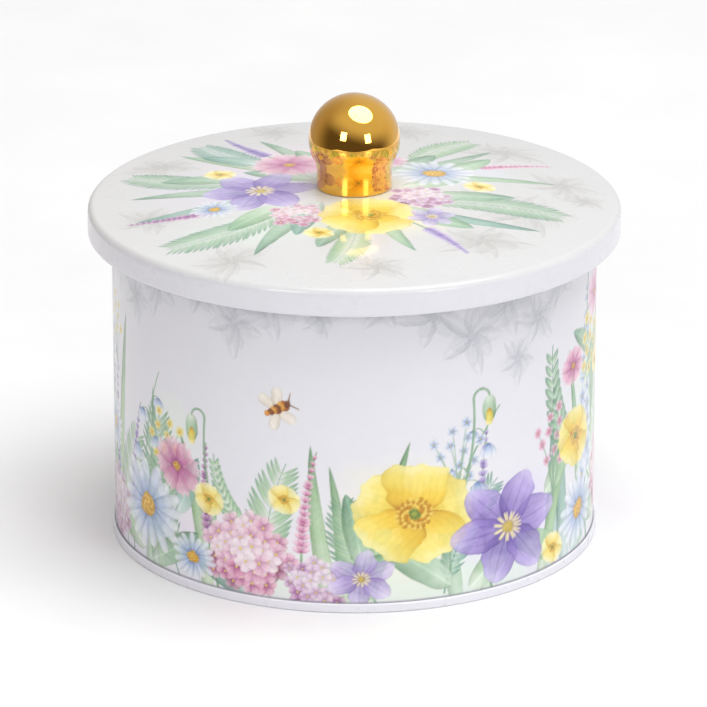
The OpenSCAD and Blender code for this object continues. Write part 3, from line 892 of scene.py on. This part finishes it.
class Surface(Tree):
    """A material of one shader."""

    def __init__(self, name):
        self.material = bpy.data.materials.new(name)
        self.material.use_nodes = True
        super().__init__(self.material.node_tree)
        self.shader = self.tree.nodes["Principled BSDF"]
        self.place = self.add("ShaderNodeTexCoord").outputs["Object"]

    def set(self, name, value):
        """Sets one of the shader's own values."""
        self.feed(self.shader.inputs[name], value)

    def noise(self, size, detail=3.0, stretch=(1, 1, 1)):
        """Noise in blobs about size millimetres across, stretched along the axes."""
        place = self.add("ShaderNodeMapping")
        place.inputs["Scale"].default_value = [1 / s for s in stretch]
        noise = self.add("ShaderNodeTexNoise")
        noise.inputs["Scale"].default_value = 1 / (size * MM)
        noise.inputs["Detail"].default_value = detail
        return self.fill(noise, self.fill(place, self.place)[0])[0]

    def mottle(self, colour, size, detail=3.0, stretch=(1, 1, 1)):
        """A colour made a very little darker here and there."""
        fleck = self.between(self.noise(size, detail, stretch), 0.985, 1.0)
        return self.mix(1.0, colour, fleck, "MULTIPLY")

    def bump(self, height, depth):
        """Relief of a depth in millimetres."""
        node = self.add("ShaderNodeBump")
        node.inputs["Strength"].default_value = 1
        node.inputs["Distance"].default_value = depth * MM
        self.feed(node.inputs["Height"], height)
        self.set("Normal", node.outputs["Normal"])


def printed_sheet(name, roughness, varnish, varnish_roughness):
    """Litho ink on tin under a clear varnish, with the faint grain of the rolled sheet below it."""
    m = Surface(name)
    colour = m.add("ShaderNodeAttribute", attribute_name="print").outputs["Color"]
    m.set("Base Color", m.mottle(m.mottle(colour, 1.3, 2.0, (2, 2, 1)), 9.0))
    m.set("Roughness", m.between(m.noise(5.0), roughness - 0.04, roughness + 0.04))
    m.set("Specular IOR Level", 0.25)
    m.set("Coat Weight", varnish)
    m.set("Coat Roughness", varnish_roughness)
    m.bump(m.noise(1.8, 2.0, (2.5, 2.5, 1)), 0.02)
    return m.material


def tinplate():
    """Bright rolled tinplate, with grain along the rolling direction and the odd dull cloud."""
    m = Surface("tinplate")
    cloudy = m.between(m.noise(14.0, 4.0), 0, 1)
    m.set("Base Color", m.mix(cloudy, rgba(TIN_TONES[0]), rgba(TIN_TONES[1])))
    m.set("Metallic", 1)
    m.set("Roughness", m.between(m.noise(1.6, 2.0, (12, 12, 1)), 0.32, 0.44))
    m.bump(m.noise(1.2, 2.0, (14, 14, 1)), 0.003)
    return m.material


def enamelled_base():
    """White enamel outside and over the seam, and bare tinplate on the panel inside."""
    m = Surface("white_enamel")
    normal = m.add("ShaderNodeTexCoord").outputs["Normal"]
    faces_up = m.between(m.axes(normal)["Z"], 0, 1, (0.2, 0.3))
    above_seam = m.between(m.axes(m.place)["Z"], 0, 1, (SEAM_TOP * MM, PRINT_FOOT * MM))
    inside = m.maths("MULTIPLY", faces_up, above_seam)
    m.set("Base Color", m.mix(inside, m.mottle(rgba(SEAM_WHITE), 1.5, 2.0), rgba(TIN_TONES[0])))
    m.set("Metallic", inside)
    m.set("Roughness", m.between(m.noise(3.0), 0.26, 0.34))
    m.bump(m.noise(2.6, 2.0), 0.006)
    return m.material


def gold_plate():
    """Polished gold plate under clear lacquer, with the faintest wipe marks."""
    m = Surface("gold_plate")
    wiped = m.between(m.noise(4.0, 4.0, (1, 1, 2.5)), 0, 1)
    m.set("Base Color", m.mix(wiped, rgba("FFC242"), rgba("FCBB3C")))
    m.set("Metallic", 1)
    m.set("Roughness", m.between(m.noise(2.0, 5.0), 0.02, 0.05))
    m.set("Coat Weight", 0.8)
    m.set("Coat Roughness", 0.02)
    m.bump(m.noise(6.0, 2.0), 0.001)
    return m.material


def zinc_plate():
    """Zinc plate on the fastening, greyer and duller than the tin."""
    m = Surface("zinc_plate")
    m.set("Base Color", m.mix(m.between(m.noise(2.5, 4.0), 0, 1), rgba("C9CCD0"), rgba("B4B7BA")))
    m.set("Metallic", 1)
    m.set("Roughness", m.between(m.noise(0.4, 3.0), 0.3, 0.46))
    m.bump(m.noise(0.3, 2.0), 0.002)
    return m.material


def table_top():
    """Smooth pale board, a little uneven in its gloss."""
    m = Surface("table_top")
    m.set("Base Color", m.mix(m.between(m.noise(60.0), 0, 1), rgba("EDEDED"), rgba("E9E9EA")))
    m.set("Roughness", m.between(m.noise(25.0), 0.5, 0.6))
    return m.material


# ---- floor, room, lights and camera

BOARD_X, BOARD_Y = (-350, 430), (-400, 550)  # the floor is a board, and white lies beyond it
CORNER_R, CORNER_STEPS = 60, 12  # rounding of its corners
LENS, SENSOR = 275.7, 36.0
CAMERA_PLACE, CAMERA_PITCH = (-0.25, -1477.2, 596.8), -20.247
TWIN_GAP = 10  # between a lamp and its twin
BALL_Z = 117.6  # middle of the ball, which the lights are aimed at
ROOM_DARK, ROOM_HIGH = (0.11, 0.09, 0.08, 1), (0.67, 0.67, 0.68, 1)
ROOM_SLANT = 0.3  # how much lower the pale part comes on the right
ROOM_LEFT, ROOM_RIGHT = (0.41, 0.37, 0.33, 1), (0.7, 0.7, 0.71, 1)


def floor():
    """A pale board with round corners."""
    mesh = bpy.data.meshes.new("floor")
    rim = []
    for right, far, start in [(1, 1, 0), (0, 1, 90), (0, 0, 180), (1, 0, 270)]:
        x, y = BOARD_X[right] + CORNER_R * (1 - 2 * right), BOARD_Y[far] + CORNER_R * (1 - 2 * far)
        rim += [(a * MM, b * MM, 0) for a, b in arc(x, y, CORNER_R, start, start + 90, CORNER_STEPS)]
    mesh.from_pydata(rim, [], [range(len(rim))])
    mesh.materials.append(table_top())
    in_scene("floor", mesh)


def softbox(name, shape, azimuth, elevation, distance, size, radiance, lit=None):
    """A lamp aimed at the ball. Azimuth 0 is the camera's side and grows to the right. With lit, which is a
    collection, it lights only that."""
    lamp = bpy.data.lights.new(name, "AREA")
    lamp.shape = shape
    lamp.size, lamp.size_y = (s * MM for s in size)
    area = lamp.size * lamp.size_y * (math.pi / 4 if shape == "ELLIPSE" else 1)
    lamp.energy = radiance * math.pi * area
    a, e = math.radians(azimuth), math.radians(elevation)
    away = Vector((math.sin(a) * math.cos(e), -math.cos(a) * math.cos(e), math.sin(e)))
    box = in_scene(name, lamp)
    box.location = (away * distance + Vector((0, 0, BALL_Z))) * MM
    box.rotation_euler = away.to_track_quat("Z", "Y").to_euler()
    box.visible_camera = False
    box.light_linking.receiver_collection = lit


def lights():
    """One large lamp overhead and two windows in front. Each has a twin just before it that lights only the
    gold knob, so that the knob's highlights come out as white as a real lamp's."""
    knob = bpy.data.collections.new("knob_only")
    knob.objects.link(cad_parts["knob"])
    for name, shape, azimuth, elevation, distance, size, radiance, glint in [
            ("overhead", "ELLIPSE", 65, 75, 3000, (2700, 2850), 3.95, 3.5),
            ("window_left", "RECTANGLE", -29, 20, 1300, (330, 470), 7.0, 2.2),
            ("window_right", "RECTANGLE", 35, 14, 1300, (330, 480), 4.7, 3.7)]:
        softbox(name, shape, azimuth, elevation, distance, size, radiance)
        softbox(name + "_glint", shape, azimuth, elevation, distance - TWIN_GAP, size, glint, knob)


def room():
    """A pale room, dark in front and dim on the left. The camera itself sees white all round."""
    world = bpy.data.worlds.new("room")
    bpy.context.scene.world = world
    world.use_nodes = True
    world.node_tree.nodes.clear()
    tree = Tree(world.node_tree)

    def rise(value, low, high):
        return tree.between(value, 0, 1, (low, high), interpolation_type="SMOOTHSTEP")

    x, y, z = tree.axes(tree.add("ShaderNodeTexCoord").outputs["Generated"])
    height = tree.maths("MULTIPLY_ADD", x, ROOM_SLANT, z)
    front = tree.mix(rise(height, 0.05, 0.75), ROOM_DARK, ROOM_HIGH)
    behind = tree.mix(rise(x, -0.8, 0.35), ROOM_LEFT, ROOM_RIGHT)
    all_round = tree.mix(rise(y, -0.45, 0.5), front, behind)
    seen = tree.mix(tree.add("ShaderNodeLightPath").outputs["Is Camera Ray"], all_round, (1, 1, 1, 1))
    background = tree.fill(tree.add("ShaderNodeBackground"), seen)[0]
    tree.feed(tree.add("ShaderNodeOutputWorld").inputs["Surface"], background)


def camera():
    """The photograph's viewpoint."""
    cam = bpy.data.cameras.new("camera")
    cam.lens, cam.sensor_width = LENS, SENSOR
    cam.clip_end = 20
    eye = in_scene("camera", cam)
    eye.location = Vector(CAMERA_PLACE) * MM
    eye.rotation_euler = (math.radians(90 + CAMERA_PITCH), 0, 0)
    bpy.context.scene.camera = eye


# ---- the caddy


def dress(piece, material):
    piece.data.materials.clear()
    piece.data.materials.append(material)


def caddy():
    tin, gold, zinc = tinplate(), gold_plate(), zinc_plate()
    for node, material in [("body_wall", tin), ("lid_shell", tin), ("lid_plug_ring", tin), ("knob", gold),
                           ("knob_screw", zinc), ("knob_washer", zinc), ("base", enamelled_base())]:
        dress(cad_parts[node], material)
    wall_ink = printed_sheet("printed_wall", roughness=0.34, varnish=0.6, varnish_roughness=0.25)
    for piece in wall_coats():
        dress(piece, wall_ink)
        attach(piece, "caddy")
    lid = lid_coat()
    dress(lid, printed_sheet("printed_lid", roughness=0.3, varnish=0.42, varnish_roughness=0.07))
    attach(lid, "lid")


camera()
floor()
room()
lights()
caddy()
bpy.context.scene.view_settings.view_transform = "Standard"
